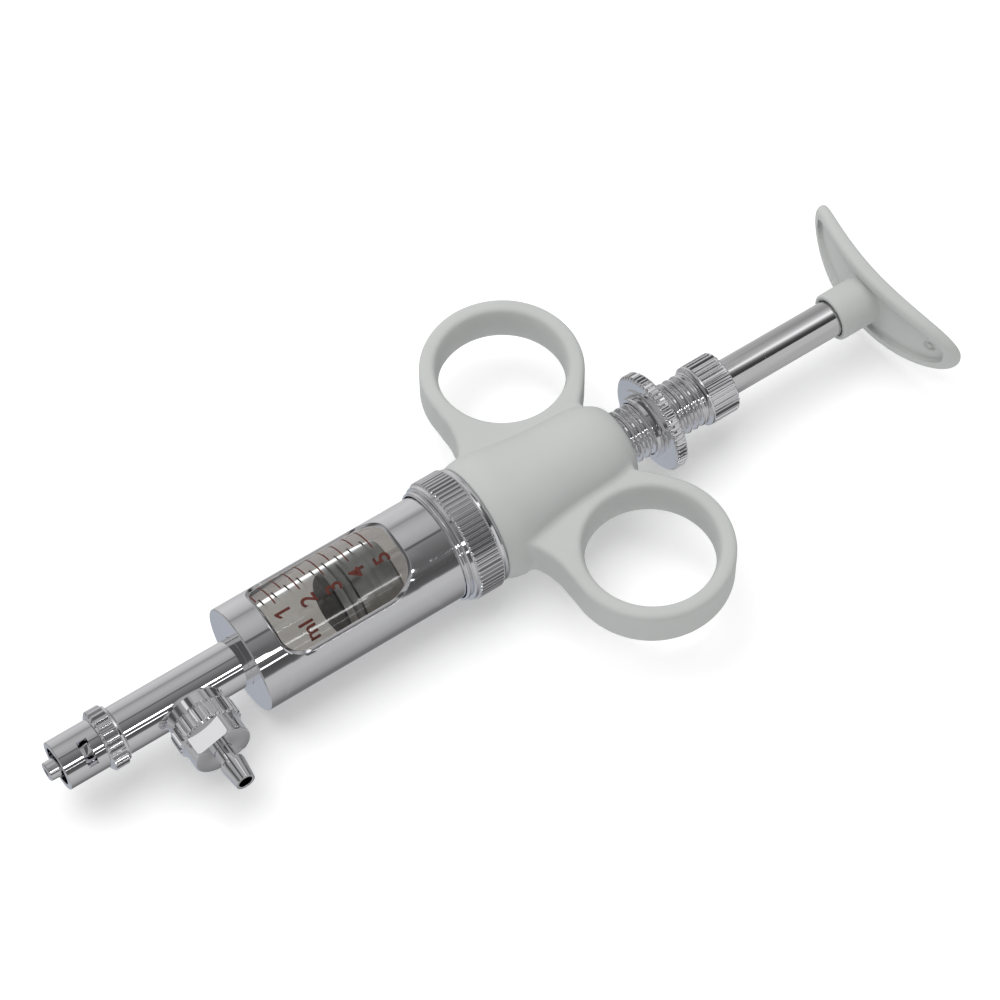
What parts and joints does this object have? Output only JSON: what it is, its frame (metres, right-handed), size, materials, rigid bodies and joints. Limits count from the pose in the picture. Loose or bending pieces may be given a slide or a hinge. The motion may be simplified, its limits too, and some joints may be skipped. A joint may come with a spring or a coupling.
{
  "type": "ring-handled repeating syringe",
  "caption": "Ring-handled spring-return repeating syringe: windowed glass barrel, Luer-lock nozzle, side hose inlet, screw-set dose stop and curved palm rest.",
  "frame": {"origin": "centre of the end face of the male Luer cone, on the plunger axis", "axes": "+X along the plunger axis from the Luer tip to the palm rest, +Z the normal of the finger-ring plane on the side of the barrel window, -Y the way the hose inlet points; the syringe lies level"},
  "size_m": [0.2068, 0.0874, 0.0268],
  "materials": {
    "chromed_brass": "polished bright chrome plate on brass",
    "spring_steel": "drawn stainless wire and polished balls",
    "barrel_glass": "clear, polished, red-brown graduations",
    "seal_rubber": "matte black",
    "grey_plastic": "light grey, fine matte moulded texture"
  },
  "bodies": {
    "barrel": {"luer_cone": "chromed_brass", "luer_nut": "chromed_brass", "outlet_seal": "seal_rubber", "outlet_valve_spring": "spring_steel", "nozzle_tube": "chromed_brass", "inlet_valve_spring": "spring_steel", "inlet_seal": "seal_rubber", "hose_stem": "chromed_brass", "inlet_nut": "chromed_brass", "front_seal": "seal_rubber", "barrel_shell": "chromed_brass", "glass_cylinder": "barrel_glass", "rear_seal": "seal_rubber", "rod_guide": "chromed_brass", "union_nut": "chromed_brass", "handle": "grey_plastic", "return_spring": "spring_steel"},
    "outlet_valve": {"outlet_valve_ball": "spring_steel"},
    "inlet_valve": {"inlet_valve_ball": "spring_steel"},
    "dose_stop": {"stop_buffer": "seal_rubber"},
    "sleeve": {"dose_sleeve": "chromed_brass"},
    "washer": {"lock_washer": "chromed_brass"},
    "lock": {"lock_nut": "chromed_brass"},
    "plunger": {"piston": "chromed_brass", "piston_seal": "seal_rubber", "plunger_rod": "chromed_brass", "stop_collar": "chromed_brass", "palm_rest": "grey_plastic"}
  },
  "joints": [
    {"name": "dose_set", "type": "slide", "parent": "barrel", "child": "dose_stop", "axis": [1, 0, 0], "range_m": [0, 0.0113]},
    {"name": "sleeve_turn", "type": "hinge", "parent": "dose_stop", "child": "sleeve", "pos_m": [0.14, 0, 0], "axis": [1, 0, 0], "range_deg": [-1, 2327]},
    {"name": "lock_travel", "type": "slide", "parent": "dose_stop", "child": "washer", "axis": [1, 0, 0], "range_m": [-0.0051, 0.0086]},
    {"name": "lock_turn", "type": "hinge", "parent": "washer", "child": "lock", "pos_m": [0.1437, 0, 0], "axis": [1, 0, 0], "range_deg": [-1051, 1771]},
    {"name": "plunger_travel", "type": "slide", "parent": "dose_stop", "child": "plunger", "axis": [1, 0, 0], "range_m": [-0.017, 0], "stiffness_N_per_m": 300, "springref_m": 0.01, "deforming": ["return_spring"]},
    {"name": "outlet_valve_lift", "type": "slide", "parent": "barrel", "child": "outlet_valve", "axis": [-1, 0, 0], "range_m": [0, 0.001], "stiffness_N_per_m": 30, "springref_m": -0.0005, "deforming": ["outlet_valve_spring"]},
    {"name": "inlet_valve_lift", "type": "slide", "parent": "barrel", "child": "inlet_valve", "axis": [0, 1, 0], "range_m": [0, 0.001], "stiffness_N_per_m": 30, "springref_m": -0.0005, "deforming": ["inlet_valve_spring"]}
  ],
  "couplings": [
    {"joint": "sleeve_turn", "follows": "dose_set", "rad_per_m": 3590.4},
    {"joint": "lock_turn", "follows": "lock_travel", "rad_per_m": 3590.4}
  ]
}
